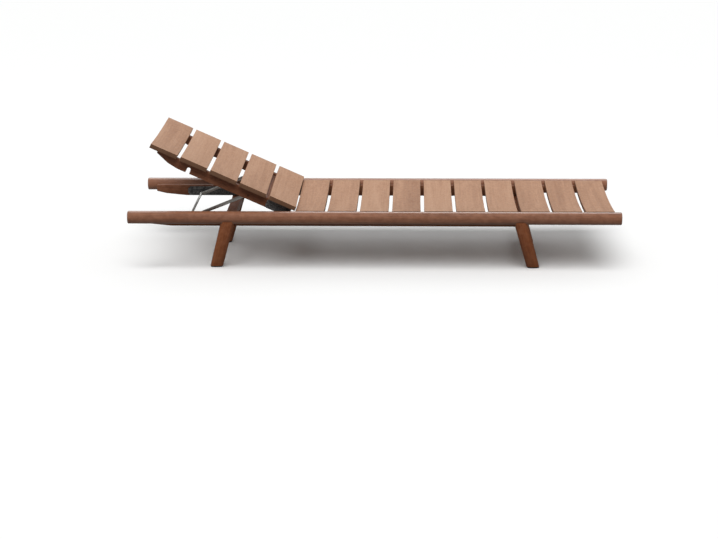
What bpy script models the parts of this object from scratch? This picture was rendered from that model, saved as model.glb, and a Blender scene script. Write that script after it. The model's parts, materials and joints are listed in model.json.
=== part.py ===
"""Low slatted sun lounger in oiled hardwood, with a reclining back held by a steel prop.

Frame: +X towards the foot end, +Y to the user's left, +Z up, origin on the floor under the
middle of the rails. Metres. The back is modelled flat, level with the seat, and then turned
up to its rest tilt about the hinge pins.
"""

import bpy
import bmesh
from math import cos, pi, radians, sin, tan
from mathutils import Matrix, Vector

# ---- driving dimensions -------------------------------------------------------------
LENGTH = 2.000          # rail end to rail end
WIDTH = 0.700           # over the two rails
RAIL_TOP = 0.258        # floor to the top of a rail
RAIL_WIDTH = 0.046      # oval rail section, across
RAIL_HEIGHT = 0.052     # oval rail section, up
BEARER_THICK = 0.028    # plank fixed inside each rail
BEARER_DROP = 0.0145    # how far the bearer hangs below its rail
BEARER_TAPER = 0.130    # length of the bearer's tapered head end
BEARER_TIP_INSET = 0.018    # bearer stops this far short of the head slat's edge
BEARER_TIP_RISE = 0.004     # its tip's lower edge, above the rail's underside
BEARER_TAPER_KNEE = 1 / 3   # share of the taper's length to the knee in its lower edge
BEARER_KNEE_DROP = 0.42     # share of the bearer's drop that is reached there
SLAT_COUNT_BACK = 5
SLAT_COUNT_SEAT = 10
SLAT_WIDTH = 0.116      # along the lounger
SLAT_THICK = 0.018
SLAT_SAG = 0.013        # dish of a slat at its middle
SLAT_RECESS = 0.0025    # slat ends sit this far below the rail top
SLAT_END_PLAY = 0.002   # between a slat's end and the rail
END_OVERHANG = 0.026    # rail past the first and the last slat

LEG_REACH = 0.653       # middle to the foot of a leg, along X
LEG_RAKE = radians(15.5)
LEG_WIDE = 0.056        # leg section at the top, along X
LEG_LEAN = radians(27.5)    # the two feet of an end stand closer together than the rails
LEG_THICK = 0.045       # leg section at the top, along Y
LEG_TAPER = 0.94        # foot section as a share of the top section
LEG_SADDLE = 0.015      # leg top below the middle of the rail it is hollowed to fit
PAD_HEIGHT = 0.005
PAD_SHARE = 0.94        # pad outline as a share of the foot's
LEG_SIDES = 28
RAIL_SIDES = 28
LEG_ROUNDNESS = 0.72    # below 1 the section is squarer than an ellipse
BEAM_WIDE = 0.040       # beam between the two legs of each end
BEAM_DEEP = 0.030

BACK_BEARER_THICK = 0.025
BACK_BEARER_INSET = 0.024   # clear space beside a frame bearer
BACK_BEARER_TIP = 0.034     # back bearer stops this far short of the head slat's edge
BACK_BEARER_NOSE = 0.100    # length of its rounded-off head end
BACK_BEARER_TIP_DEEP = 0.012
BACK_BEARER_KNEE = 0.55     # share of the nose's length to its knee
BACK_BEARER_KNEE_RISE = 0.0072  # the knee above the back bearer's lower edge
BACK_BEARER_END_PLAY = 0.012    # back bearer stops this far short of the gap at the seat
CROSS_RAIL_WIDE = 0.045
CROSS_RAIL_DEEP = 0.022
CROSS_RAIL_PAST_PIVOT = 0.073   # prop pivot to the middle of the cross rail
REST_TILT = radians(24.0)
HINGE_PAST_GAP = 0.0297     # hinge axis, past the first seat slat's head edge
HINGE_BELOW_LEDGE = 0.0192  # hinge axis, below the ledge that carries the slats
HINGE_PLATE_THICK = 0.004
HINGE_PLATE_LENGTH = 0.106
HINGE_PLATE_INSET = 0.002   # plate's top edge below the back bearer's
HINGE_NECK_BELOW = 0.0127   # the cranked neck's top edge, below the pin's axis
HINGE_NECK_LONG = 0.0575    # pin's axis to where the plate steps up to its full height
HINGE_NECK_START = 0.017    # pin's axis to where the neck begins
HINGE_CORNER = 0.008        # cut corners of the plate
HINGE_EYE = 0.0125          # radius of the plate round the pin
PIN_RADIUS = 0.004
PIN_HEAD = 0.0075
PIN_HEAD_THICK = 0.0035
PIN_TAIL = 0.004            # pin shank past the plate's inner face
BOLT_SUNK = 0.002           # prop bolt's end below the back bearer's outer face
RAIL_END_SOFT = 0.004       # rounding of the rail's ends
SLAT_SOFT = 0.002
WOOD_SOFT = 0.0015

PROP_REACH = 0.241      # hinge axis to prop pivot, along the back
PROP_DROP = 0.010       # prop pivot below the hinge axis when flat
PROP_ARM = 0.264        # prop pivot to cross tube
PROP_TRIM = 1.0045      # trims the prop's turn so that its tube runs level
PROP_EYE_RIM = 0.002    # bar's eye radius over its half width
PROP_SIDE_PLAY = 0.0025 # between a prop arm and its back bearer
PROP_NOTCH_PLAY = 0.003 # round the tube, in a back bearer's notch
PROP_BAR_WIDE = 0.012
PROP_BAR_THICK = 0.005
PROP_TUBE = 0.005       # cross tube radius
RACK_THICK = 0.003
RACK_TILTS = (12.0, 24.0, 36.0, 48.0)
RACK_NOTCH_DEEP = 0.003
RACK_NOTCH_HALF = 0.004     # half the width of a notch at its bottom
RACK_FLOOR_PLAY = 0.0007    # under the tube
RACK_PLAY = 0.002           # over the tube and at the slot's ends
RACK_MARGIN = 0.018         # plate past the slot's head end
RACK_PAST_HINGE = 0.030     # plate past the hinge axis
RACK_CORNER = 0.010
RACK_SLOT_EASE = 0.001      # cut corner at the slot's foot end
RACK_LOW_INSET = 0.001      # plate's lower edge above the bearer's
RACK_HIGH_INSET = 0.006     # plate's upper edge below the ledge

GAP = 0.0003            # between pieces that touch
RUN = 0.0006            # radial play of a pin in its hole
SIDE_RUN = 0.001        # play beside a turning plate or arm
JOIN = 0.001            # how far two pieces that become one reach into each other
CUT_PAST = 0.010        # a cutter reaches this far past what it cuts

# ---- derived sizes --------------------------------------------------------------------
SLATS = SLAT_COUNT_BACK + SLAT_COUNT_SEAT
PITCH = (LENGTH - 2 * END_OVERHANG - SLAT_WIDTH) / (SLATS - 1)
FIRST_SLAT = -LENGTH / 2 + END_OVERHANG + SLAT_WIDTH / 2
RAIL_Y = WIDTH / 2 - RAIL_WIDTH / 2
RAIL_Z = RAIL_TOP - RAIL_HEIGHT / 2
RAIL_INNER = WIDTH / 2 - RAIL_WIDTH
LEDGE = RAIL_TOP - SLAT_RECESS - SLAT_THICK - GAP
BEARER_OUTER = RAIL_INNER - GAP
BEARER_INNER = BEARER_OUTER - BEARER_THICK
BEARER_LOW = RAIL_TOP - RAIL_HEIGHT - BEARER_DROP
SLAT_HALF = RAIL_INNER - SLAT_END_PLAY

BACK_OUTER = BEARER_INNER - BACK_BEARER_INSET
BACK_INNER = BACK_OUTER - BACK_BEARER_THICK
BACK_TOP = LEDGE - SLAT_SAG * (1 - (BACK_INNER / SLAT_HALF) ** 2) - GAP
HEAD_EDGE = FIRST_SLAT - SLAT_WIDTH / 2
SEAT_EDGE = FIRST_SLAT + SLAT_COUNT_BACK * PITCH - SLAT_WIDTH / 2
HINGE = Vector((SEAT_EDGE + HINGE_PAST_GAP, 0.0, LEDGE - HINGE_BELOW_LEDGE))
BACK_WOOD_END = SEAT_EDGE - (PITCH - SLAT_WIDTH) - BACK_BEARER_END_PLAY
PIVOT = HINGE + Vector((-PROP_REACH, 0.0, -PROP_DROP))
PROP_RATIO = 1 + PROP_TRIM * PROP_REACH / PROP_ARM   # prop's turn for each turn of the back
PLATE_INNER = BACK_OUTER + GAP
PLATE_OUTER = PLATE_INNER + HINGE_PLATE_THICK
RACK_OUTER = BEARER_INNER - GAP
RACK_INNER = RACK_OUTER - RACK_THICK
BAR_OUTER = BACK_INNER - PROP_SIDE_PLAY
BAR_INNER = BAR_OUTER - PROP_BAR_THICK
TUBE_HALF = RACK_OUTER - GAP
BEAM_TOP = BEARER_LOW - GAP
LEG_TOP = RAIL_Z - LEG_SADDLE
FOOT_Y = RAIL_Y - LEG_TOP * tan(LEG_LEAN)
SIDES = (("left", 1), ("right", -1))
ENDS = (("head", -1), ("foot", 1))

COLOURS = {
    "rail_wood": ((0.20, 0.080, 0.042), 0.45, 0.0),
    "slat_wood": ((0.46, 0.26, 0.16), 0.6, 0.0),
    "leg_wood": ((0.19, 0.070, 0.034), 0.5, 0.0),
    "dark_steel": ((0.05, 0.05, 0.055), 0.45, 0.8),
    "bright_steel": ((0.62, 0.62, 0.60), 0.3, 1.0),
    "rubber": ((0.03, 0.03, 0.03), 0.8, 0.0),
}

for old in list(bpy.data.objects):
    bpy.data.objects.remove(old)
parts = bpy.data.collections.new("sun_lounger")
cutters = bpy.data.collections.new("cutters")
for group in (parts, cutters):
    bpy.context.scene.collection.children.link(group)


def material(slot):
    found = bpy.data.materials.get(slot)
    if found:
        return found
    colour, roughness, metallic = COLOURS[slot]
    made = bpy.data.materials.new(slot)
    made.use_nodes = True
    shader = made.node_tree.nodes["Principled BSDF"]
    shader.inputs["Base Color"].default_value = (*colour, 1.0)
    shader.inputs["Roughness"].default_value = roughness
    shader.inputs["Metallic"].default_value = metallic
    return made


def add(name, mesh, slot, holder=None):
    """A named piece in the parts collection, moving with its holder if it has one."""
    piece = bpy.data.objects.new(name, mesh)
    parts.objects.link(piece)
    mesh.materials.append(material(slot))
    if holder:
        hold(piece, holder)
    return piece


def hold(piece, holder):
    piece.parent = holder
    piece.matrix_parent_inverse = Matrix.Translation(holder["flat_place"]).inverted()


def plank(name, outline, y_low, y_high):
    """A mesh whose outline is drawn in X and Z, and which runs from y_low to y_high."""
    mesh = bpy.data.meshes.new(name)
    bm = bmesh.new()
    face = bm.faces.new([bm.verts.new((x, y_low, z)) for x, z in outline])
    walls = bmesh.ops.extrude_face_region(bm, geom=[face])
    moved = [item for item in walls["geom"] if isinstance(item, bmesh.types.BMVert)]
    bmesh.ops.translate(bm, verts=moved, vec=(0.0, y_high - y_low, 0.0))
    bmesh.ops.recalc_face_normals(bm, faces=bm.faces)
    bm.to_mesh(mesh)
    bm.free()
    return mesh


def arc(centre_x, centre_z, radius, start, end, steps):
    """Points round a centre, from one angle to another, in degrees."""
    angles = [radians(start + (end - start) * step / steps) for step in range(steps + 1)]
    return [(centre_x + radius * cos(a), centre_z + radius * sin(a)) for a in angles]


def soften(piece, width, segments=1, angle=radians(40)):
    bevel = piece.modifiers.new("soft edges", "BEVEL")
    bevel.width = width
    bevel.segments = segments
    bevel.limit_method = "ANGLE"
    bevel.angle_limit = angle
    return bevel


def rod(name, radius, y_low, y_high, x, z, sides=16):
    """A round bar along Y."""
    mesh = bpy.data.meshes.new(name)
    bm = bmesh.new()
    bmesh.ops.create_cone(bm, cap_ends=True, segments=sides, radius1=radius,
                          radius2=radius, depth=y_high - y_low)
    bmesh.ops.rotate(bm, verts=bm.verts, matrix=Matrix.Rotation(pi / 2, 3, "X"))
    bmesh.ops.translate(bm, verts=bm.verts, vec=(x, (y_low + y_high) / 2, z))
    bm.to_mesh(mesh)
    bm.free()
    return mesh


def cutter(name, mesh, holder=None):
    tool = bpy.data.objects.new(name, mesh)
    cutters.objects.link(tool)
    tool.hide_render = True
    tool.display_type = "WIRE"
    if holder:
        hold(tool, holder)
    return tool


def combine(piece, other, operation):
    change = piece.modifiers.new(operation.lower(), "BOOLEAN")
    change.operation = operation
    change.object = other
    return change


def between(side, near, far):
    """The low and high Y of a stretch that lies between two distances from the middle."""
    return (near, far) if side > 0 else (-far, -near)


def empty(name, place, turn, parent=None):
    """A holder on a joint's axis; flat_place is where its pieces were modelled round."""
    made = bpy.data.objects.new(name, None)
    parts.objects.link(made)
    made["flat_place"] = tuple(place)
    if parent:
        hold(made, parent)
    made.location = place
    made.rotation_euler = (0.0, turn, 0.0)
    return made


back = empty("back_axis", HINGE, REST_TILT)
prop = empty("prop_axis", PIVOT, -PROP_RATIO * REST_TILT, back)


def rail_mesh(name, side, spare=0.0):
    """An oval bar along X, larger all round by the spare."""
    mesh = bpy.data.meshes.new(name)
    bm = bmesh.new()
    bmesh.ops.create_cone(bm, cap_ends=True, segments=RAIL_SIDES, radius1=0.5, radius2=0.5,
                          depth=LENGTH + 2 * spare)
    size = (RAIL_HEIGHT + 2 * spare, RAIL_WIDTH + 2 * spare, 1.0)
    bmesh.ops.scale(bm, verts=bm.verts, vec=size)
    bmesh.ops.rotate(bm, verts=bm.verts, matrix=Matrix.Rotation(pi / 2, 3, "Y"))
    bmesh.ops.translate(bm, verts=bm.verts, vec=(0.0, side * RAIL_Y, RAIL_Z))
    bm.to_mesh(mesh)
    bm.free()
    return mesh


def make_rails():
    """An oval bar down each side, with softly rounded ends."""
    for side_name, side in SIDES:
        mesh = rail_mesh(f"rail_{side_name}", side)
        soften(add(mesh.name, mesh, "rail_wood"), RAIL_END_SOFT, 2)


def make_bearers():
    """The plank inside each rail; its top is the ledge, and it tapers at the head end."""
    head = HEAD_EDGE + BEARER_TIP_INSET
    foot = LENGTH / 2 - END_OVERHANG
    leg_stop = LEG_REACH - BEARER_LOW * tan(LEG_RAKE)
    rail_low = RAIL_TOP - RAIL_HEIGHT
    outline = [
        (head, LEDGE), (head, rail_low + BEARER_TIP_RISE),
        (head + BEARER_TAPER * BEARER_TAPER_KNEE, rail_low - BEARER_DROP * BEARER_KNEE_DROP),
        (head + BEARER_TAPER, BEARER_LOW), (leg_stop, BEARER_LOW), (leg_stop, rail_low),
        (foot, rail_low), (foot, LEDGE),
    ]
    for side_name, side in SIDES:
        mesh = plank(f"bearer_{side_name}", outline, *between(side, BEARER_INNER, BEARER_OUTER))
        soften(add(mesh.name, mesh, "rail_wood"), WOOD_SOFT)


def dish(y):
    """How far a slat's top lies below its ends at this distance from the middle."""
    return SLAT_SAG * (1 - (y / SLAT_HALF) ** 2)


def slat_mesh(name, middle, steps=14):
    """A dished board whose underside is cut level where it sits on the two ledges."""
    seat = LEDGE + GAP
    shoulder = BEARER_INNER - GAP
    across = [2 * step / steps - 1 for step in range(steps + 1)]
    top = [(SLAT_HALF * share, seat + SLAT_THICK - dish(SLAT_HALF * share)) for share in across]
    low = [(shoulder * share, seat - dish(shoulder * share)) for share in across]
    ring = [(-SLAT_HALF, seat), (-shoulder, seat), *low, (shoulder, seat), (SLAT_HALF, seat)]
    ring += reversed(top)
    mesh = bpy.data.meshes.new(name)
    bm = bmesh.new()
    face = bm.faces.new([bm.verts.new((middle - SLAT_WIDTH / 2, y, z)) for y, z in ring])
    walls = bmesh.ops.extrude_face_region(bm, geom=[face])
    moved = [item for item in walls["geom"] if isinstance(item, bmesh.types.BMVert)]
    bmesh.ops.translate(bm, verts=moved, vec=(SLAT_WIDTH, 0.0, 0.0))
    bmesh.ops.recalc_face_normals(bm, faces=bm.faces)
    bm.to_mesh(mesh)
    bm.free()
    return mesh


def make_slats():
    for number in range(SLATS):
        middle = FIRST_SLAT + number * PITCH
        if number < SLAT_COUNT_BACK:
            name, holder = f"back_slat_{number + 1}", back
        else:
            name, holder = f"seat_slat_{number + 1 - SLAT_COUNT_BACK:02d}", None
        soften(add(name, slat_mesh(name, middle), "slat_wood", holder), SLAT_SOFT)


def squarish(share):
    """Pushes a sine or cosine outwards, so that a circle of them is nearer to a square."""
    return abs(share) ** LEG_ROUNDNESS * (1 if share > 0 else -1)


def leg_mesh(name, end, side, low, high, share=1.0, spare=0.0):
    """A stretch of a leg between two heights, as a share of its outline or with a spare."""
    mesh = bpy.data.meshes.new(name)
    bm = bmesh.new()
    turns = [2 * pi * step / LEG_SIDES for step in range(LEG_SIDES)]
    rings = []
    for z in (low, high):
        taper = (LEG_TAPER + (1 - LEG_TAPER) * z / LEG_TOP) * share
        wide = LEG_WIDE / 2 * taper + spare
        thick = LEG_THICK / 2 * taper + spare
        x = end * (LEG_REACH - z * tan(LEG_RAKE))
        y = side * (FOOT_Y + z * tan(LEG_LEAN))
        rings.append([
            bm.verts.new((x + wide * squarish(cos(turn)), y + thick * squarish(sin(turn)), z))
            for turn in turns
        ])
    bm.faces.new(rings[0])
    bm.faces.new(rings[1])
    for step in range(LEG_SIDES):
        after = (step + 1) % LEG_SIDES
        bm.faces.new((rings[0][step], rings[0][after], rings[1][after], rings[1][step]))
    bmesh.ops.recalc_face_normals(bm, faces=bm.faces)
    bm.to_mesh(mesh)
    bm.free()
    return mesh


def make_legs():
    """Oval legs, raked outwards along the lounger and leaning in under it, on rubber pads.
    Each is hollowed at the top to fit the rail, and cut away for the bearer."""
    for side_name, side in SIDES:
        rail_cut = cutter(f"rail_hollow_{side_name}", rail_mesh("rail_hollow", side, GAP))
        seat = [(-LENGTH, BEAM_TOP), (LENGTH, BEAM_TOP), (LENGTH, RAIL_Z), (-LENGTH, RAIL_Z)]
        y_low, y_high = between(side, BEARER_INNER - LEG_THICK, BEARER_OUTER + GAP)
        bearer_cut = cutter(f"bearer_seat_{side_name}", plank("bearer_seat", seat, y_low, y_high))
        for end_name, end in ENDS:
            name = f"leg_{end_name}_{side_name}"
            mesh = leg_mesh(name, end, side, PAD_HEIGHT + GAP, LEG_TOP)
            leg = add(name, mesh, "leg_wood")
            combine(leg, rail_cut, "DIFFERENCE")
            combine(leg, bearer_cut, "DIFFERENCE")
            pad = leg_mesh(f"foot_pad_{end_name}_{side_name}", end, side, 0.0, PAD_HEIGHT, PAD_SHARE)
            add(pad.name, pad, "rubber")


def make_beams():
    """A bar between the two legs of each end, close under the bearers."""
    low, high = BEAM_TOP - BEAM_DEEP, BEAM_TOP
    for end_name, end in ENDS:
        middle = end * (LEG_REACH - (low + high) / 2 * tan(LEG_RAKE))
        left, right = middle - BEAM_WIDE / 2, middle + BEAM_WIDE / 2
        half = FOOT_Y + low * tan(LEG_LEAN)
        box = [(left, low), (right, low), (right, high), (left, high)]
        mesh = plank(f"leg_beam_{end_name}", box, -half, half)
        beam = add(mesh.name, mesh, "leg_wood")
        for side_name, side in SIDES:
            room = leg_mesh("beam_end", end, side, low - CUT_PAST, high + CUT_PAST, spare=GAP)
            combine(beam, cutter(f"beam_end_{end_name}_{side_name}", room), "DIFFERENCE")


def make_back_frame():
    """Two planks under the back slats, notched for the prop's tube, and a rail between."""
    tip = HEAD_EDGE + BACK_BEARER_TIP
    outline = [
        (tip, BACK_TOP), (tip, BACK_TOP - BACK_BEARER_TIP_DEEP),
        (tip + BACK_BEARER_NOSE * BACK_BEARER_KNEE, BEARER_LOW + BACK_BEARER_KNEE_RISE),
        (tip + BACK_BEARER_NOSE, BEARER_LOW), (BACK_WOOD_END, BEARER_LOW), (BACK_WOOD_END, BACK_TOP),
    ]
    tube = PIVOT + Vector((-PROP_ARM, 0.0, 0.0))
    notch = PROP_TUBE + PROP_NOTCH_PLAY
    crown = arc(tube.x, tube.z, notch, 0, 180, 8)
    below = BEARER_LOW - CUT_PAST
    slot = crown + [(tube.x - notch, below), (tube.x + notch, below)]
    for side_name, side in SIDES:
        low, high = between(side, BACK_INNER, BACK_OUTER)
        piece = add(f"back_bearer_{side_name}", plank("back_bearer", outline, low, high),
                    "rail_wood", back)
        notch_tool = cutter(f"notch_cut_{side_name}", plank("notch", slot, low - CUT_PAST,
                            high + CUT_PAST), back)
        hole = rod("pivot_hole", PIN_RADIUS + RUN, low - CUT_PAST, high + CUT_PAST, PIVOT.x, PIVOT.z)
        hole_tool = cutter(f"pivot_cut_{side_name}", hole, back)
        combine(piece, notch_tool, "DIFFERENCE")
        combine(piece, hole_tool, "DIFFERENCE")
    middle = PIVOT.x + CROSS_RAIL_PAST_PIVOT
    high = LEDGE - SLAT_SAG - GAP
    left, right = middle - CROSS_RAIL_WIDE / 2, middle + CROSS_RAIL_WIDE / 2
    box = [(left, high - CROSS_RAIL_DEEP), (right, high - CROSS_RAIL_DEEP), (right, high), (left, high)]
    rail = plank("back_cross_rail", box, -BACK_INNER + GAP, BACK_INNER - GAP)
    soften(add("back_cross_rail", rail, "rail_wood", back), SLAT_SOFT)


def make_hinges():
    """Cranked steel plates on the back bearers, turning on pins fixed in the rack plates."""
    neck_low = BEARER_LOW
    neck_high = HINGE.z - HINGE_NECK_BELOW
    plate_high = BACK_TOP - HINGE_PLATE_INSET
    corner = HINGE_CORNER
    end = BACK_WOOD_END - HINGE_PLATE_LENGTH
    clear = HINGE.x - HINGE_NECK_LONG
    outline = arc(HINGE.x, HINGE.z, HINGE_EYE, 90, -60, 10)
    outline += [(HINGE.x - corner / 2, neck_low), (end + corner, neck_low), (end, neck_low + corner)]
    outline += [(end, plate_high - corner), (end + corner, plate_high)]
    outline += [(clear - corner, plate_high), (clear, neck_high + corner * 1.5)]
    outline += [(clear + corner, neck_high), (HINGE.x - HINGE_NECK_START, neck_high)]
    outline += arc(HINGE.x, HINGE.z, HINGE_EYE, 205, 110, 6)
    for side_name, side in SIDES:
        low, high = between(side, PLATE_INNER, PLATE_OUTER)
        plate = add(f"hinge_plate_{side_name}", plank("hinge_plate", outline, low, high),
                    "dark_steel", back)
        hole = rod("hinge_hole", PIN_RADIUS + RUN, low - CUT_PAST, high + CUT_PAST, HINGE.x, HINGE.z)
        combine(plate, cutter(f"hinge_cut_{side_name}", hole, back), "DIFFERENCE")
        shank = rod("shank", PIN_RADIUS, *between(side, PLATE_INNER - PIN_TAIL, RACK_INNER - GAP),
                    HINGE.x, HINGE.z)
        pin = add(f"hinge_pin_{side_name}", shank, "bright_steel")
        head = between(side, PLATE_INNER - PIN_TAIL - PIN_HEAD_THICK, PLATE_INNER - PIN_TAIL + JOIN)
        collar = between(side, PLATE_OUTER + SIDE_RUN, RACK_INNER - GAP)
        for which, (a, b) in (("head", head), ("collar", collar)):
            disc = rod(f"pin_{which}", PIN_HEAD, a, b, HINGE.x, HINGE.z, 18)
            combine(pin, cutter(f"pin_{which}_{side_name}", disc), "UNION")


def tube_place(tilt):
    """Where the prop's cross tube is when the back is at a tilt, in the plane of X and Z."""
    drop = Matrix.Rotation(tilt, 3, "Y") @ (PIVOT - HINGE)
    arm = Matrix.Rotation(tilt * (1 - PROP_RATIO), 3, "Y") @ Vector((-PROP_ARM, 0.0, 0.0))
    return HINGE + drop + arm


def make_racks():
    """A steel plate on each bearer, slotted for the tube, with a notch for each position."""
    places = [tube_place(radians(tilt)) for tilt in (0.0, *RACK_TILTS)]
    lowest = min(place.z for place in places)
    floor = lowest - PROP_TUBE - RACK_FLOOR_PLAY
    roof = max(place.z for place in places) + PROP_TUBE + RACK_PLAY
    left = min(place.x for place in places) - PROP_TUBE - RACK_PLAY
    right = max(place.x for place in places) + PROP_TUBE + RACK_PLAY
    narrow = RACK_NOTCH_HALF
    wide = narrow + RACK_NOTCH_DEEP
    slot = [(left, roof), (left, floor)]
    for place in places[1:]:
        slot += [(place.x - wide, floor), (place.x - narrow, floor - RACK_NOTCH_DEEP)]
        slot += [(place.x + narrow, floor - RACK_NOTCH_DEEP)]
        slot += [(min(place.x + wide, right), floor)]
    slot += [(right, floor + RACK_SLOT_EASE), (right, roof)]
    head = left - RACK_MARGIN
    foot = HINGE.x + RACK_PAST_HINGE
    low, high = BEARER_LOW + RACK_LOW_INSET, LEDGE - RACK_HIGH_INSET
    corner = RACK_CORNER
    outline = [
        (head + corner, low), (foot - corner, low), (foot, low + corner), (foot, high - corner),
        (foot - corner, high), (head + corner, high), (head, high - corner), (head, low + corner),
    ]
    for side_name, side in SIDES:
        y_low, y_high = between(side, RACK_INNER, RACK_OUTER)
        plate = add(f"rack_plate_{side_name}", plank("rack_plate", outline, y_low, y_high),
                    "dark_steel")
        tool = plank("rack_slot", slot, y_low - CUT_PAST, y_high + CUT_PAST)
        combine(plate, cutter(f"rack_cut_{side_name}", tool), "DIFFERENCE")


def make_prop():
    """A steel cross tube welded to two flat arms, which turn on bolts in the back bearers."""
    tube_x = PIVOT.x - PROP_ARM
    tube = add("prop_frame", rod("prop_tube", PROP_TUBE, -TUBE_HALF, TUBE_HALF, tube_x, PIVOT.z),
               "bright_steel", prop)
    half = PROP_BAR_WIDE / 2
    eye = half + PROP_EYE_RIM
    outline = arc(PIVOT.x, PIVOT.z, eye, 120, -120, 12) + arc(tube_x, PIVOT.z, half, 270, 90, 8)
    for side_name, side in SIDES:
        low, high = between(side, BAR_INNER, BAR_OUTER)
        arm = cutter(f"prop_arm_{side_name}", plank("prop_arm", outline, low, high), prop)
        hole = rod("arm_hole", PIN_RADIUS + RUN, low - CUT_PAST, high + CUT_PAST, PIVOT.x, PIVOT.z)
        combine(arm, cutter(f"arm_hole_{side_name}", hole, prop), "DIFFERENCE")
        combine(tube, arm, "UNION")
        inner, outer = BAR_INNER - SIDE_RUN, BACK_OUTER - BOLT_SUNK
        shank = rod("bolt_shank", PIN_RADIUS, *between(side, inner - JOIN, outer), PIVOT.x, PIVOT.z)
        bolt = add(f"prop_bolt_{side_name}", shank, "bright_steel", back)
        disc = rod("bolt_head", PIN_HEAD, *between(side, inner - PIN_HEAD_THICK, inner), PIVOT.x,
                   PIVOT.z, 18)
        combine(bolt, cutter(f"bolt_head_{side_name}", disc, back), "UNION")


make_rails()
make_bearers()
make_slats()
make_legs()
make_beams()
make_back_frame()
make_hinges()
make_racks()
make_prop()

for made in bpy.data.meshes:
    made.shade_smooth()
    made.set_sharp_from_angle(angle=radians(35))
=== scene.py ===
"""The finished look of a low slatted sun lounger in oiled hardwood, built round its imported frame.

Metres, +Z up, +X towards the foot end, +Y to the left of someone lying on it.
"""

import json
from math import pi, radians

import bpy
from mathutils import Matrix, Vector


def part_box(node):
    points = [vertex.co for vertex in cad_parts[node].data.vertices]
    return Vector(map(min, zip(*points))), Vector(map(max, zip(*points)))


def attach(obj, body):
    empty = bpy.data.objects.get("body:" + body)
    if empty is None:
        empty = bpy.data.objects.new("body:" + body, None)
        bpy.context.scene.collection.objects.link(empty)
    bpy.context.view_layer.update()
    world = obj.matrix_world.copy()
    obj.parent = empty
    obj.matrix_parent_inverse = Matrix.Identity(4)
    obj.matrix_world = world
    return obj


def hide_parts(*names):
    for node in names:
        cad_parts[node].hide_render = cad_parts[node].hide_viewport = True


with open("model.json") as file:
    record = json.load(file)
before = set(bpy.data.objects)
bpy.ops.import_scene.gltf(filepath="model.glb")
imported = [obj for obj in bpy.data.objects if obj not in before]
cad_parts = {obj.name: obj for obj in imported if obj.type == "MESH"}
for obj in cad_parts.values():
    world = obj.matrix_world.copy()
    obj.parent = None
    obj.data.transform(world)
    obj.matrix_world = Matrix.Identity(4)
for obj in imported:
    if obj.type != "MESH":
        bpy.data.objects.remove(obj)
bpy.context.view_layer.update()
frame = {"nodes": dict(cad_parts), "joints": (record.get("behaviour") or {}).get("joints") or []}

# ---- Camera -----------------------------------------------------------------------------
# A long lens from a little above the seat, looking across the lounger from its right side.
camera = bpy.data.objects.new("camera", bpy.data.cameras.new("camera"))
bpy.context.scene.collection.objects.link(camera)
bpy.context.scene.camera = camera
camera.data.sensor_width = 36.0
camera.data.lens = 100.09
CAMERA_PLACE = (0.1585, -8.1946, 2.0521)
CAMERA_YAW = 0.0279
CAMERA_PITCH = 0.2531
CAMERA_ROLL = -0.0031
camera.matrix_world = (
    Matrix.Translation(CAMERA_PLACE)
    @ Matrix.Rotation(CAMERA_YAW, 4, "Z")
    @ Matrix.Rotation(pi / 2 - CAMERA_PITCH, 4, "X")
    @ Matrix.Rotation(CAMERA_ROLL, 4, "Z")
)

# ---- Floor and light --------------------------------------------------------------------
# A white studio floor that throws little light back up, and an even white surround. One very
# broad lamp above lets the shadow fall soft and a little behind, and a panel gives the sheen.
FLOOR_SEEN = (0.97, 0.975, 0.975, 1.0)
FLOOR_BOUNCE = (0.26, 0.25, 0.24, 1.0)
SURROUND_LIGHT = 0.38
SURROUND_SEEN = 1.0
bpy.context.scene.view_settings.view_transform = "Standard"
bpy.ops.object.select_all(action="DESELECT")
bpy.ops.mesh.primitive_plane_add(size=90.0, location=(0.0, 20.0, 0.0))
floor = bpy.context.active_object
floor.name = "studio_floor"
floor_paint = bpy.data.materials.new("studio_floor")
floor_paint.use_nodes = True
floor_tree = floor_paint.node_tree
floor_shader = floor_tree.nodes["Principled BSDF"]
floor_sight = floor_tree.nodes.new("ShaderNodeLightPath")
floor_tone = floor_tree.nodes.new("ShaderNodeMix")
floor_tone.data_type = "RGBA"
floor_tone.inputs["A"].default_value = FLOOR_BOUNCE
floor_tone.inputs["B"].default_value = FLOOR_SEEN
floor_tree.links.new(floor_sight.outputs["Is Camera Ray"], floor_tone.inputs["Factor"])
floor_tree.links.new(floor_tone.outputs["Result"], floor_shader.inputs["Base Color"])
floor_shader.inputs["Roughness"].default_value = 0.9
floor.data.materials.append(floor_paint)

surround = bpy.data.worlds.new("surround")
bpy.context.scene.world = surround
surround.use_nodes = True
surround.node_tree.nodes["Background"].inputs["Color"].default_value = (1.0, 1.0, 0.99, 1.0)
surround_sight = surround.node_tree.nodes.new("ShaderNodeLightPath")
surround_strength = surround.node_tree.nodes.new("ShaderNodeMapRange")
surround_strength.inputs["To Min"].default_value = SURROUND_LIGHT
surround_strength.inputs["To Max"].default_value = SURROUND_SEEN
surround.node_tree.links.new(surround_sight.outputs["Is Camera Ray"],
                             surround_strength.inputs["Value"])
surround.node_tree.links.new(surround_strength.outputs["Result"],
                             surround.node_tree.nodes["Background"].inputs["Strength"])

lamp = bpy.data.objects.new("overhead_lamp", bpy.data.lights.new("overhead_lamp", "SUN"))
bpy.context.scene.collection.objects.link(lamp)
lamp.data.energy = 2.75
lamp.data.angle = radians(46)
lamp.rotation_euler = (radians(38), radians(-3), 0.0)
lamp.visible_glossy = False

panel = bpy.data.objects.new("sheen_panel", bpy.data.lights.new("sheen_panel", "AREA"))
bpy.context.scene.collection.objects.link(panel)
panel.data.shape = "RECTANGLE"
panel.data.size = 7.0
panel.data.size_y = 3.0
panel.data.energy = 200.0
panel.location = (0.0, 2.4, 3.6)
panel.rotation_euler = (radians(-34), 0.0, 0.0)
panel.visible_diffuse = False

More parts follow.
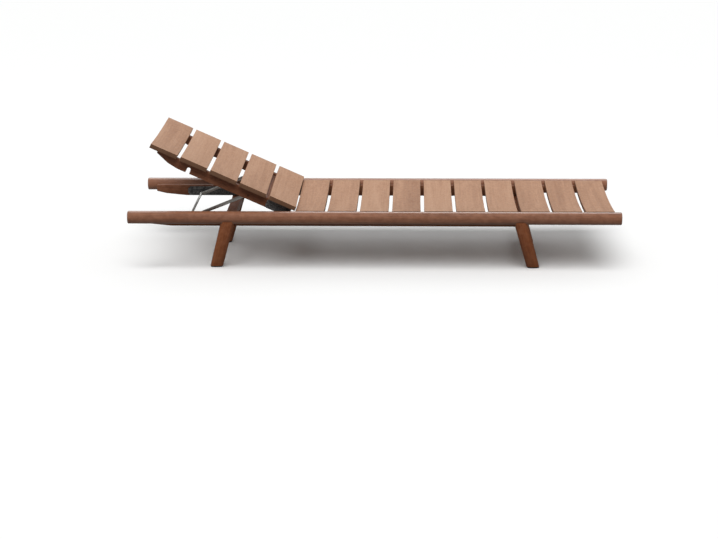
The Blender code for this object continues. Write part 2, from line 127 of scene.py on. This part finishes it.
# ---- Side rails -------------------------------------------------------------------------
# Two oval bars of oiled hardwood, one down each side. Each is turned from one length of
# timber and eased round at both ends.
RAIL_SIDES = 56
RAIL_END_ROUND = 0.005
END_GRAIN_FROM = 0.75
# Dark end-face tone, as a share of the darkest figure colour: soaked end grain and painted shade.
SOAKED_AND_SHADED_SHARE = 0.36
RUBBED_SHARE = 0.55
RUBBED_SHARE_ON_ENDS = 0.06
ALONG = (1.0, 0.0, 0.0)
ACROSS = (0.0, 1.0, 0.0)
UP = (0.0, 0.0, 1.0)
NEARLY_ACROSS = 0.9
GRAIN_STEPS = (3.13, 1.71, 0.93)
RAIL_GRAIN = 3


def pick(piece):
    """Makes this the only selected piece, and the active one."""
    bpy.ops.object.select_all(action="DESELECT")
    piece.select_set(True)
    bpy.context.view_layer.objects.active = piece


def settle(piece):
    """Puts a piece's place, turn and size into its mesh."""
    pick(piece)
    bpy.ops.object.transform_apply(location=True, rotation=True, scale=True)


def ease(piece, width, segments=3, angle=40):
    """Rounds the edges that are sharper than the angle, and smooths the shading."""
    pick(piece)
    bevel = piece.modifiers.new("eased edges", "BEVEL")
    bevel.width = width
    bevel.segments = segments
    bevel.limit_method = "ANGLE"
    bevel.angle_limit = radians(angle)
    bpy.ops.object.modifier_apply(modifier=bevel.name)
    bpy.ops.object.shade_smooth_by_angle(angle=radians(angle))


def store_grain(piece, along, seed):
    """Keeps each point's place in the board it was cut from, with X along the fibres, and
    marks the faces that lie across them, where the end grain shows."""
    fibres = Vector(along).normalized()
    aside = fibres.cross(ACROSS if abs(fibres.y) < NEARLY_ACROSS else UP).normalized()
    through = fibres.cross(aside)
    shift = Vector([seed * step for step in GRAIN_STEPS])
    stored = piece.data.attributes.new("grain", "FLOAT_VECTOR", "POINT")
    for point, kept in zip(piece.data.vertices, stored.data):
        place = Vector((fibres.dot(point.co), aside.dot(point.co), through.dot(point.co)))
        kept.vector = place + shift
    ends = piece.data.attributes.new("end_grain", "FLOAT", "FACE")
    for face, kept in zip(piece.data.polygons, ends.data):
        kept.value = float(abs(fibres.dot(face.normal)) > END_GRAIN_FROM)


def group_of(name, inputs, outputs):
    """A new shader node group with these named sockets, and its input and output nodes."""
    tree = bpy.data.node_groups.new(name, "ShaderNodeTree")
    for label, kind in inputs:
        tree.interface.new_socket(label, in_out="INPUT", socket_type=kind)
    for label, kind in outputs:
        tree.interface.new_socket(label, in_out="OUTPUT", socket_type=kind)
    return tree, tree.nodes.new("NodeGroupInput"), tree.nodes.new("NodeGroupOutput")


def noise(tree, source, stretch, scale, detail=2.0, roughness=0.5, distortion=0.0):
    """Noise on a vector that is first stretched; gives the noise node's value socket."""
    mapping = tree.nodes.new("ShaderNodeMapping")
    mapping.inputs["Scale"].default_value = stretch
    tree.links.new(source, mapping.inputs["Vector"])
    texture = tree.nodes.new("ShaderNodeTexNoise")
    texture.inputs["Scale"].default_value = scale
    texture.inputs["Detail"].default_value = detail
    texture.inputs["Roughness"].default_value = roughness
    texture.inputs["Distortion"].default_value = distortion
    tree.links.new(mapping.outputs["Vector"], texture.inputs["Vector"])
    return texture.outputs["Fac"]


def spread(tree, source, low, high, to_low=0.0, to_high=1.0):
    """Stretches a value from one range onto another, held at its ends."""
    node = tree.nodes.new("ShaderNodeMapRange")
    node.inputs["From Min"].default_value = low
    node.inputs["From Max"].default_value = high
    node.inputs["To Min"].default_value = to_low
    node.inputs["To Max"].default_value = to_high
    tree.links.new(source, node.inputs["Value"])
    return node.outputs["Result"]


def calculate(tree, operation, first, second):
    """One sum on two sockets or numbers."""
    node = tree.nodes.new("ShaderNodeMath")
    node.operation = operation
    for socket, value in zip(node.inputs, (first, second)):
        if isinstance(value, (int, float)):
            socket.default_value = value
        else:
            tree.links.new(value, socket)
    return node.outputs["Value"]


def mix(tree, share, first, second):
    """A colour between two colour sockets."""
    node = tree.nodes.new("ShaderNodeMix")
    node.data_type = "RGBA"
    tree.links.new(share, node.inputs["Factor"])
    for socket, value in ((node.inputs["A"], first), (node.inputs["B"], second)):
        if isinstance(value, tuple):
            socket.default_value = value
        else:
            tree.links.new(value, socket)
    return node.outputs["Result"]


def build_timber():
    """Oiled hardwood: a tone for each board, slow bands, growth rings, fibres and pores."""
    tree, given, result = group_of(
        "timber",
        (("Grain", "NodeSocketVector"), ("Light", "NodeSocketColor"),
         ("Middle", "NodeSocketColor"), ("Dark", "NodeSocketColor")),
        (("Colour", "NodeSocketColor"), ("Roughness", "NodeSocketFloat"),
         ("Height", "NodeSocketFloat")),
    )
    grain = given.outputs["Grain"]
    board = noise(tree, grain, (0.05, 0.30, 0.30), 1.0, 0.0)
    bands = noise(tree, grain, (0.9, 11.0, 11.0), 1.0, 3.0, 0.55, 0.4)
    fibres = noise(tree, grain, (16.0, 330.0, 330.0), 1.0, 3.0, 0.6)
    mottle = noise(tree, grain, (55.0, 120.0, 120.0), 1.0, 3.0, 0.65)
    pores = noise(tree, grain, (70.0, 1500.0, 1500.0), 1.0, 1.0)
    rings = noise(tree, grain, (1.3, 75.0, 75.0), 1.0, 2.0, 0.5, 1.2)
    figure = calculate(tree, "MULTIPLY", spread(tree, board, 0.3, 0.7), 0.26)
    for layer, low, high, weight in (
        (bands, 0.3, 0.7, 0.24), (rings, 0.32, 0.68, 0.16),
        (fibres, 0.3, 0.7, 0.18), (mottle, 0.34, 0.66, 0.16),
    ):
        scaled = calculate(tree, "MULTIPLY", spread(tree, layer, low, high), weight)
        figure = calculate(tree, "ADD", figure, scaled)
    pits = spread(tree, pores, 0.56, 0.68)
    lower = mix(tree, spread(tree, figure, 0.12, 0.52), given.outputs["Dark"],
                given.outputs["Middle"])
    upper = mix(tree, spread(tree, figure, 0.46, 0.86), lower, given.outputs["Light"])
    pitted = mix(tree, calculate(tree, "MULTIPLY", pits, 0.32), upper, given.outputs["Dark"])
    tree.links.new(pitted, result.inputs["Colour"])
    tree.links.new(spread(tree, fibres, 0.3, 0.7, 0.0, 1.0), result.inputs["Roughness"])
    ridges = calculate(tree, "ADD", calculate(tree, "MULTIPLY", fibres, 0.6),
                       calculate(tree, "MULTIPLY", rings, 0.4))
    height = calculate(tree, "SUBTRACT", ridges, calculate(tree, "MULTIPLY", pits, 0.35))
    tree.links.new(height, result.inputs["Height"])
    return tree


def build_worn_edges():
    """Where hands and weather rub an edge: the outward corners, broken up by noise."""
    tree, given, result = group_of(
        "worn_edges", (("Patches", "NodeSocketFloat"),), (("Mask", "NodeSocketFloat"),)
    )
    shape = tree.nodes.new("ShaderNodeNewGeometry")
    place = tree.nodes.new("ShaderNodeTexCoord")
    corners = spread(tree, shape.outputs["Pointiness"], 0.505, 0.56)
    texture = tree.nodes.new("ShaderNodeTexNoise")
    texture.inputs["Detail"].default_value = 4.0
    tree.links.new(place.outputs["Object"], texture.inputs["Vector"])
    tree.links.new(given.outputs["Patches"], texture.inputs["Scale"])
    broken = spread(tree, texture.outputs["Fac"], 0.38, 0.62)
    tree.links.new(calculate(tree, "MULTIPLY", corners, broken), result.inputs["Mask"])
    return tree


timber = build_timber()
worn_edges = build_worn_edges()


def wood(name, light, middle, dark, rubbed, low_gloss, high_gloss, relief, shine, oil,
         end_soak_and_shade):
    """A timber material: three colours of figure, one for rubbed edges, its sheen, its coat
    of oil, and how dark its end faces turn: soaked end grain, partly painted shade."""
    made = bpy.data.materials.new(name)
    made.use_nodes = True
    tree = made.node_tree
    shader = tree.nodes["Principled BSDF"]
    grain = tree.nodes.new("ShaderNodeAttribute")
    grain.attribute_name = "grain"
    figure = tree.nodes.new("ShaderNodeGroup")
    figure.node_tree = timber
    tree.links.new(grain.outputs["Vector"], figure.inputs["Grain"])
    for label, value in (("Light", light), ("Middle", middle), ("Dark", dark)):
        figure.inputs[label].default_value = (*value, 1.0)
    edges = tree.nodes.new("ShaderNodeGroup")
    edges.node_tree = worn_edges
    edges.inputs["Patches"].default_value = 45.0
    ends = tree.nodes.new("ShaderNodeAttribute")
    ends.attribute_name = "end_grain"
    # End faces go towards a dark tone: soaked end grain, and partly painted shade.
    across = calculate(tree, "MULTIPLY", ends.outputs["Fac"], end_soak_and_shade)
    soaked_and_shaded = tuple(SOAKED_AND_SHADED_SHARE * channel for channel in dark)
    unsoaked = spread(tree, ends.outputs["Fac"], 0.0, 1.0, RUBBED_SHARE, RUBBED_SHARE_ON_ENDS)
    share = calculate(tree, "MULTIPLY", edges.outputs["Mask"], unsoaked)
    body = mix(tree, across, figure.outputs["Colour"], (*soaked_and_shaded, 1.0))
    tree.links.new(mix(tree, share, body, (*rubbed, 1.0)), shader.inputs["Base Color"])
    tree.links.new(spread(tree, figure.outputs["Roughness"], 0.0, 1.0, low_gloss, high_gloss),
                   shader.inputs["Roughness"])
    shader.inputs["Specular IOR Level"].default_value = shine
    shader.inputs["Coat Weight"].default_value = oil
    shader.inputs["Coat Roughness"].default_value = 0.28
    bump = tree.nodes.new("ShaderNodeBump")
    bump.inputs["Strength"].default_value = 0.7
    bump.inputs["Distance"].default_value = relief
    tree.links.new(figure.outputs["Height"], bump.inputs["Height"])
    tree.links.new(bump.outputs["Normal"], shader.inputs["Normal"])
    return made


rail_wood = wood("oiled_rail", light=(0.275, 0.112, 0.056), middle=(0.190, 0.072, 0.034),
                 dark=(0.104, 0.036, 0.017), rubbed=(0.36, 0.18, 0.11),
                 low_gloss=0.30, high_gloss=0.46, relief=0.0003, shine=0.5, oil=0.55,
                 end_soak_and_shade=0.72)


def dress(piece, name, finish, slot, body, *nodes):
    """Names a piece, gives it its material and body, and hides the frame pieces it stands for."""
    piece.name = name
    piece.data.name = name
    piece.data.materials.clear()
    piece.data.materials.append(finish)
    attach(piece, body)
    if nodes:
        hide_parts(*nodes)
    return piece


for number, side in enumerate(("left", "right")):
    low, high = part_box(f"rail_{side}")
    size = high - low
    bpy.ops.mesh.primitive_cylinder_add(vertices=RAIL_SIDES, radius=0.5, depth=1.0,
                                        location=(low + high) / 2, rotation=(0.0, pi / 2, 0.0))
    rail = bpy.context.active_object
    rail.scale = (size.z, size.y, size.x)
    settle(rail)
    ease(rail, RAIL_END_ROUND, segments=5)
    store_grain(rail, ALONG, RAIL_GRAIN + number)
    dress(rail, f"side_rail_{side}", rail_wood, "rail_wood", "frame", f"rail_{side}")

# ---- Bearers and beams ------------------------------------------------------------------
# A plank is glued and screwed inside each rail to carry the slats, planed to a taper at the
# head end. A bar runs between the two legs of each end, close under the planks.
WEAR_WIDTH = 0.0007
BEARER_GRAIN = 6
BEAM_GRAIN = 9


def from_frame(node, width, segments=2, angle=28):
    """A copy of a frame piece, with its loose triangles merged and its edges eased."""
    source = frame["nodes"][node]
    piece = bpy.data.objects.new(f"{node}_copy", source.data.copy())
    bpy.context.scene.collection.objects.link(piece)
    pick(piece)
    bpy.ops.object.mode_set(mode="EDIT")
    bpy.ops.mesh.select_all(action="SELECT")
    bpy.ops.mesh.remove_doubles(threshold=0.00001)
    bpy.ops.mesh.dissolve_limited(angle_limit=radians(0.5))
    bpy.ops.object.mode_set(mode="OBJECT")
    ease(piece, width, segments, angle)
    return piece


leg_wood = wood("oiled_leg", light=(0.360, 0.125, 0.048), middle=(0.262, 0.084, 0.031),
                dark=(0.150, 0.043, 0.016), rubbed=(0.40, 0.16, 0.08),
                low_gloss=0.36, high_gloss=0.56, relief=0.0003, shine=0.22, oil=0.0,
                end_soak_and_shade=0.7)

plank_wood = wood("oiled_plank", light=(0.250, 0.098, 0.050), middle=(0.170, 0.063, 0.031),
                  dark=(0.092, 0.032, 0.015), rubbed=(0.30, 0.14, 0.08), low_gloss=0.45,
                  high_gloss=0.62, relief=0.0003, shine=0.2, oil=0.0, end_soak_and_shade=0.6)

for number, side in enumerate(("left", "right")):
    bearer = from_frame(f"bearer_{side}", WEAR_WIDTH)
    store_grain(bearer, ALONG, BEARER_GRAIN + number)
    dress(bearer, f"slat_bearer_{side}", plank_wood, "rail_wood", "frame", f"bearer_{side}")
for number, end in enumerate(("head", "foot")):
    bar = from_frame(f"leg_beam_{end}", WEAR_WIDTH)
    store_grain(bar, ACROSS, BEAM_GRAIN + number)
    dress(bar, f"cross_beam_{end}", leg_wood, "leg_wood", "frame", f"leg_beam_{end}")

# ---- Slats ------------------------------------------------------------------------------
# Fifteen wide boards lie across the bearers, ten for the seat and five for the back. Each is
# steamed to a shallow dish, rebated where it sits on the bearers, and eased all round.
SLAT_EASE = 0.0028
SLAT_SECTIONS = 30
TOUCHING_GAP = 0.0003
REBATE_STEP = 0.0004
SAME_PLACE = 0.00002
SLAT_GRAIN = 20
SLAT_GRAIN_STEP = 1.37

# The slats' end faces are darkened almost fully: soaked end grain, and painted shade on the lit
# front ends.
slat_wood = wood("oiled_slat", light=(0.520, 0.312, 0.200), middle=(0.415, 0.222, 0.130),
                 dark=(0.265, 0.128, 0.070), rubbed=(0.54, 0.35, 0.24),
                 low_gloss=0.55, high_gloss=0.78, relief=0.0003, shine=0.22, oil=0.0,
                 end_soak_and_shade=0.96)
first_low, first_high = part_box("seat_slat_01")
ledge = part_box("bearer_left")[1].z + TOUCHING_GAP
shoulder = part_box("bearer_left")[0].y - TOUCHING_GAP
slat_half = first_high.y
slat_sag = ledge - first_low.z
slat_middle = (first_low.x + first_high.x) / 2
slat_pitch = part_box("seat_slat_02")[0].x - first_low.x


def select_points(piece, wanted):
    """Leaves the piece in edit mode with only the wanted points selected."""
    pick(piece)
    bpy.ops.object.mode_set(mode="EDIT")
    bpy.ops.mesh.select_mode(type="VERT")
    bpy.ops.mesh.select_all(action="DESELECT")
    bpy.ops.object.mode_set(mode="OBJECT")
    for point in piece.data.vertices:
        point.select = wanted(point.co)
    bpy.ops.object.mode_set(mode="EDIT")


def slice_across(piece, places):
    """Cuts the whole mesh at these distances along Y, leaving it in one piece."""
    pick(piece)
    bpy.ops.object.mode_set(mode="EDIT")
    for place in places:
        bpy.ops.mesh.select_all(action="SELECT")
        bpy.ops.mesh.bisect(plane_co=(0.0, place, 0.0), plane_no=ACROSS)
    bpy.ops.object.mode_set(mode="OBJECT")


bpy.ops.mesh.primitive_cube_add(size=1.0, location=(0.0, 0.0, (ledge + first_high.z) / 2))
pattern = bpy.context.active_object
pattern.scale = (first_high.x - first_low.x, 2 * slat_half, first_high.z - ledge)
settle(pattern)
evenly = [slat_half * (2 * step / SLAT_SECTIONS - 1) for step in range(1, SLAT_SECTIONS)]
rebate = (-shoulder - REBATE_STEP, -shoulder, shoulder, shoulder + REBATE_STEP)
slice_across(pattern, [*evenly, *rebate])
halfway = (ledge + first_high.z) / 2
for place in sorted({round(point.co.y, 5) for point in pattern.data.vertices}):
    drop = slat_sag * (1 - (place / slat_half) ** 2)
    rests = abs(place) > shoulder + REBATE_STEP / 2
    select_points(pattern, lambda co: abs(co.y - place) < SAME_PLACE
                  and not (rests and co.z < halfway))
    bpy.ops.transform.translate(value=(0.0, 0.0, -drop))
    bpy.ops.object.mode_set(mode="OBJECT")
ease(pattern, SLAT_EASE, segments=4)

recline = next(joint for joint in frame["joints"] if joint["name"] == "back_recline")
hinge = Vector(recline["pos_m"])
rest_tilt = radians(-recline["range_deg"][0])
raised = (Matrix.Translation(hinge) @ Matrix.Rotation(rest_tilt, 4, "Y")
          @ Matrix.Translation(-hinge))

for number in range(-5, 10):
    slat = bpy.data.objects.new("slat", pattern.data.copy())
    bpy.context.scene.collection.objects.link(slat)
    slat.matrix_world = Matrix.Translation((slat_middle + number * slat_pitch, 0.0, 0.0))
    if number < 0:
        slat.matrix_world = raised @ slat.matrix_world
        name, body, node = f"back_board_{number + 6}", "back", f"back_slat_{number + 6}"
    else:
        name, body, node = f"seat_board_{number + 1:02d}", "frame", f"seat_slat_{number + 1:02d}"
    settle(slat)
    store_grain(slat, ACROSS, SLAT_GRAIN + SLAT_GRAIN_STEP * number)
    dress(slat, name, slat_wood, "slat_wood", body, node)
bpy.data.objects.remove(pattern)

# ---- Legs and foot pads -----------------------------------------------------------------
# Four oval legs are splayed both ways, slimmer at the floor, hollowed on top to fit the round
# of the rail and cut away for the plank beside it. A thin rubber pad is nailed under each foot.
LEG_EASE = 0.0012
PAD_EASE = 0.0008
OVAL_ANGLE = 35
LEG_GRAIN = 50
LEG_GRAIN_STEP = 3
HEAD_LEG_GRAIN = 7

rubber = bpy.data.materials.new("moulded_rubber")


def dull_finish(made, colour, patch_colour, roughness, grit, relief):
    """A painted or moulded skin: two close tones, a fine grit, and paler worn corners."""
    made.use_nodes = True
    tree = made.node_tree
    shader = tree.nodes["Principled BSDF"]
    place = tree.nodes.new("ShaderNodeTexCoord")
    clouds = noise(tree, place.outputs["Object"], (1.0, 1.0, 1.0), 38.0, 4.0, 0.6)
    grains = noise(tree, place.outputs["Object"], (1.0, 1.0, 1.0), grit, 2.0, 0.6)
    edges = tree.nodes.new("ShaderNodeGroup")
    edges.node_tree = worn_edges
    edges.inputs["Patches"].default_value = 160.0
    tone = mix(tree, spread(tree, clouds, 0.35, 0.65), (*colour, 1.0),
               (*(1.35 * channel for channel in colour), 1.0))
    tree.links.new(mix(tree, calculate(tree, "MULTIPLY", edges.outputs["Mask"], 0.6), tone,
                       (*patch_colour, 1.0)), shader.inputs["Base Color"])
    tree.links.new(spread(tree, clouds, 0.3, 0.7, roughness - 0.08, roughness + 0.08),
                   shader.inputs["Roughness"])
    bump = tree.nodes.new("ShaderNodeBump")
    bump.inputs["Strength"].default_value = 0.5
    bump.inputs["Distance"].default_value = relief
    tree.links.new(grains, bump.inputs["Height"])
    tree.links.new(bump.outputs["Normal"], shader.inputs["Normal"])
    return shader


dull_finish(rubber, (0.022, 0.022, 0.023), (0.06, 0.06, 0.06), 0.75, 900.0, 0.0002)

for end in ("head", "foot"):
    for number, side in enumerate(("left", "right")):
        leg = from_frame(f"leg_{end}_{side}", LEG_EASE, 3, OVAL_ANGLE)
        pad_low, pad_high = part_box(f"foot_pad_{end}_{side}")
        rail_low, rail_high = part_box(f"rail_{side}")
        leg_low, leg_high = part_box(f"leg_{end}_{side}")
        foot_place = (pad_low + pad_high) / 2
        top_place = (rail_low + rail_high) / 2
        top_place.x = leg_low.x + leg_high.x - foot_place.x
        seed = LEG_GRAIN + LEG_GRAIN_STEP * number + HEAD_LEG_GRAIN * (end == "head")
        store_grain(leg, top_place - foot_place, seed)
        dress(leg, f"oval_leg_{end}_{side}", leg_wood, "leg_wood", "frame", f"leg_{end}_{side}")
        pad = from_frame(f"foot_pad_{end}_{side}", PAD_EASE, 3, OVAL_ANGLE)
        dress(pad, f"pad_under_{end}_{side}", rubber, "rubber", "frame",
              f"foot_pad_{end}_{side}")

# ---- Back frame -------------------------------------------------------------------------
# Two planks run under the back's slats, shaped off at the head and notched for the prop's
# tube, with a short rail let in between them.
BACK_EASE = 0.0013
PLANK_GRAIN = 12
TIE_RAIL_GRAIN = 15
up_the_back = raised.to_3x3() @ Vector(ALONG)

for number, side in enumerate(("left", "right")):
    plank = from_frame(f"back_bearer_{side}", BACK_EASE, 3)
    store_grain(plank, up_the_back, PLANK_GRAIN + number)
    dress(plank, f"back_plank_{side}", plank_wood, "rail_wood", "back", f"back_bearer_{side}")
rail = from_frame("back_cross_rail", WEAR_WIDTH)
store_grain(rail, ACROSS, TIE_RAIL_GRAIN)
dress(rail, "back_tie_rail", plank_wood, "rail_wood", "back", "back_cross_rail")

# ---- Steel plates -----------------------------------------------------------------------
# Powder-coated plates, cut from sheet: one on each bearer, slotted and notched for the prop's
# tube, and a cranked one on each back plank that turns on the hinge pin.
PLATE_EASE = 0.0004
dark_steel = bpy.data.materials.new("powder_coated_steel")
plate_shader = dull_finish(dark_steel, (0.045, 0.046, 0.050), (0.30, 0.30, 0.29), 0.46, 1400.0,
                           0.00012)
plate_shader.inputs["Metallic"].default_value = 0.35

for side in ("left", "right"):
    plate = from_frame(f"rack_plate_{side}", PLATE_EASE)
    dress(plate, f"notched_plate_{side}", dark_steel, "dark_steel", "frame", f"rack_plate_{side}")
    plate = from_frame(f"hinge_plate_{side}", PLATE_EASE)
    dress(plate, f"cranked_plate_{side}", dark_steel, "dark_steel", "back", f"hinge_plate_{side}")

# ---- Slot shade strips and screws -------------------------------------------------------
# A thin dark strip lies behind each slotted plate as painted shade, so no wood shows through the
# slot.
# Dome-headed screws with a cross recess hold the plates to the wood.
SHADE_STRIP_THICK = 0.0002
SHADE_STRIP_MARGIN = 0.012
SHADE_STRIP_HIGH = 0.8
RACK_SCREW_HEAD_INSET = 0.009
RACK_SCREW_FOOT_INSET = 0.012
HINGE_SCREWS_ALONG = (0.074, 0.110, 0.146)
HINGE_SCREWS_UP = 0.001
SCREW_RADIUS = 0.0042
SCREW_DOME = 0.0020
SCREW_RECESS = 0.0009
RECESS_REACH = 1.1
RECESS_HALF = 0.22
SCREW_TURN = 0.4
SCREW_SMOOTH_ANGLE = 35


def cross_screw(name, place, outwards, body):
    """A domed head that stands on a face at a place, facing along Y."""
    bpy.ops.object.select_all(action="DESELECT")
    bpy.ops.mesh.primitive_uv_sphere_add(segments=32, ring_count=16, radius=1.0)
    head = bpy.context.active_object
    pick(head)
    bpy.ops.object.mode_set(mode="EDIT")
    bpy.ops.mesh.select_all(action="SELECT")
    bpy.ops.mesh.bisect(plane_co=(0.0, 0.0, 0.0), plane_no=UP, use_fill=True,
                        clear_inner=True)
    bpy.ops.object.mode_set(mode="OBJECT")
    head.scale = (SCREW_RADIUS, SCREW_RADIUS, SCREW_DOME)
    settle(head)
    for turn in (0.0, pi / 2):
        bpy.ops.mesh.primitive_cube_add(size=1.0, location=(0.0, 0.0, SCREW_DOME))
        bar = bpy.context.active_object
        bar.scale = (SCREW_RADIUS * RECESS_REACH, SCREW_RADIUS * RECESS_HALF, SCREW_RECESS * 2)
        bar.rotation_euler = (0.0, 0.0, turn + SCREW_TURN)
        settle(bar)
        pick(head)
        recess = head.modifiers.new("recess", "BOOLEAN")
        recess.operation = "DIFFERENCE"
        recess.object = bar
        bpy.ops.object.modifier_apply(modifier=recess.name)
        bpy.data.objects.remove(bar)
    head.matrix_world = Matrix.Translation(place) @ Matrix.Rotation(-outwards * pi / 2, 4, "X")
    settle(head)
    pick(head)
    bpy.ops.object.shade_smooth_by_angle(angle=radians(SCREW_SMOOTH_ANGLE))
    return dress(head, name, dark_steel, "dark_steel", body)


for side, outwards in (("left", 1), ("right", -1)):
    low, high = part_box(f"rack_plate_{side}")
    plate_face = low.y if outwards > 0 else high.y
    back_face = high.y if outwards > 0 else low.y
    middle_z = (low.z + high.z) / 2
    # Painted shade: a thin dark strip behind the plate's slot.
    bpy.ops.object.select_all(action="DESELECT")
    bpy.ops.mesh.primitive_cube_add(size=1.0)
    shade_strip = bpy.context.active_object
    shade_strip.scale = (high.x - low.x - 2 * SHADE_STRIP_MARGIN, SHADE_STRIP_THICK,
                    (high.z - low.z) * SHADE_STRIP_HIGH)
    shade_strip.location = ((low.x + high.x) / 2, back_face + outwards * TOUCHING_GAP / 2, middle_z)
    settle(shade_strip)
    dress(shade_strip, f"slot_shade_strip_{side}", dark_steel, "dark_steel", "frame")
    places = (low.x + RACK_SCREW_HEAD_INSET, high.x - RACK_SCREW_FOOT_INSET)
    for number, x in enumerate(places):
        place = Vector((x, plate_face, middle_z))
        cross_screw(f"rack_screw_{side}_{number + 1}", place, -outwards, "frame")
    low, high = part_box(f"hinge_plate_{side}")
    face = high.y if outwards > 0 else low.y
    for number, along in enumerate(HINGE_SCREWS_ALONG):
        place = raised @ Vector((hinge.x - along, face, hinge.z + HINGE_SCREWS_UP))
        cross_screw(f"hinge_screw_{side}_{number + 1}", place, outwards, "back")

# ---- Prop, pins and bolts ---------------------------------------------------------------
# A bright steel cross tube is welded all round to two flat arms, on both their faces. The arms
# hang on bolts in the back planks, and plain headed pins carry the back.
WELD_RADIUS = 0.0052
WELD_BEAD = 0.0013
TUBE_PAST_PLATE = 0.004
TURNED_ANGLE = 40

bright_steel = bpy.data.materials.new("brushed_steel")
bright_steel.use_nodes = True
steel_tree = bright_steel.node_tree
steel_shader = steel_tree.nodes["Principled BSDF"]
steel_shader.inputs["Metallic"].default_value = 1.0
steel_place = steel_tree.nodes.new("ShaderNodeTexCoord").outputs["Object"]
brushing = noise(steel_tree, steel_place, (900.0, 40.0, 900.0), 1.0, 3.0, 0.6)
stains = noise(steel_tree, steel_place, (1.0, 1.0, 1.0), 30.0, 4.0, 0.6)
steel_tone = mix(steel_tree, spread(steel_tree, stains, 0.35, 0.7), (0.58, 0.58, 0.56, 1.0),
                 (0.40, 0.39, 0.37, 1.0))
steel_tree.links.new(steel_tone, steel_shader.inputs["Base Color"])
steel_tree.links.new(spread(steel_tree, brushing, 0.3, 0.7, 0.22, 0.40),
                     steel_shader.inputs["Roughness"])
steel_bump = steel_tree.nodes.new("ShaderNodeBump")
steel_bump.inputs["Strength"].default_value = 0.3
steel_bump.inputs["Distance"].default_value = 0.00005
steel_tree.links.new(brushing, steel_bump.inputs["Height"])
steel_tree.links.new(steel_bump.outputs["Normal"], steel_shader.inputs["Normal"])

prop = from_frame("prop_frame", PLATE_EASE, angle=TURNED_ANGLE)
dress(prop, "prop_tube_and_arms", bright_steel, "bright_steel", "prop", "prop_frame")

tube_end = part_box("rack_plate_left")[0].y - TUBE_PAST_PLATE
prop_points = [point.co for point in frame["nodes"]["prop_frame"].data.vertices]
tube_points = [place for place in prop_points if place.y > tube_end]
tube_middle = sum(tube_points, Vector()) / len(tube_points)
arm_faces = sorted({round(abs(place.y), 4) for place in prop_points if abs(place.y) < tube_end})
for side, outwards in (("left", 1), ("right", -1)):
    for number, face in enumerate((arm_faces[0], arm_faces[-1])):
        bpy.ops.object.select_all(action="DESELECT")
        bpy.ops.mesh.primitive_torus_add(
            location=(tube_middle.x, outwards * face, tube_middle.z), rotation=(pi / 2, 0.0, 0.0),
            major_radius=WELD_RADIUS, minor_radius=WELD_BEAD, major_segments=40,
            minor_segments=12)
        bead = bpy.context.active_object
        settle(bead)
        bpy.ops.object.shade_smooth()
        dress(bead, f"weld_{side}_{number + 1}", bright_steel, "bright_steel", "prop")

for side in ("left", "right"):
    pin = from_frame(f"hinge_pin_{side}", PLATE_EASE, angle=TURNED_ANGLE)
    dress(pin, f"hinge_axle_{side}", bright_steel, "bright_steel", "frame", f"hinge_pin_{side}")
    bolt = from_frame(f"prop_bolt_{side}", PLATE_EASE, angle=TURNED_ANGLE)
    dress(bolt, f"arm_bolt_{side}", bright_steel, "bright_steel", "back", f"prop_bolt_{side}")

# ---- Bolt plugs -------------------------------------------------------------------------
# A timber plug fills the counterbore over the sunk end of each prop bolt. It is turned from
# the same wood as the plank and glued in, almost flush.
PLUG_RADIUS = 0.0044
PLUG_THICK = 0.0014
PLUG_EASE = 0.0002
PLUG_SINK = 0.4
PLUG_GRAIN = 70

pivot = Vector(next(joint for joint in frame["joints"] if joint["name"] == "prop_swing")["pos_m"])
for number, (side, outwards) in enumerate((("left", 1), ("right", -1))):
    low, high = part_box(f"back_bearer_{side}")
    outer_face = high.y if outwards > 0 else low.y
    bpy.ops.object.select_all(action="DESELECT")
    bpy.ops.mesh.primitive_cylinder_add(
        vertices=40, radius=PLUG_RADIUS, depth=PLUG_THICK, rotation=(pi / 2, 0.0, 0.0),
        location=(pivot.x, outer_face - outwards * PLUG_THICK * PLUG_SINK, pivot.z))
    plug = bpy.context.active_object
    settle(plug)
    ease(plug, PLUG_EASE, segments=2)
    store_grain(plug, up_the_back, PLUG_GRAIN + number)
    dress(plug, f"bolt_plug_{side}", plank_wood, "rail_wood", "back")
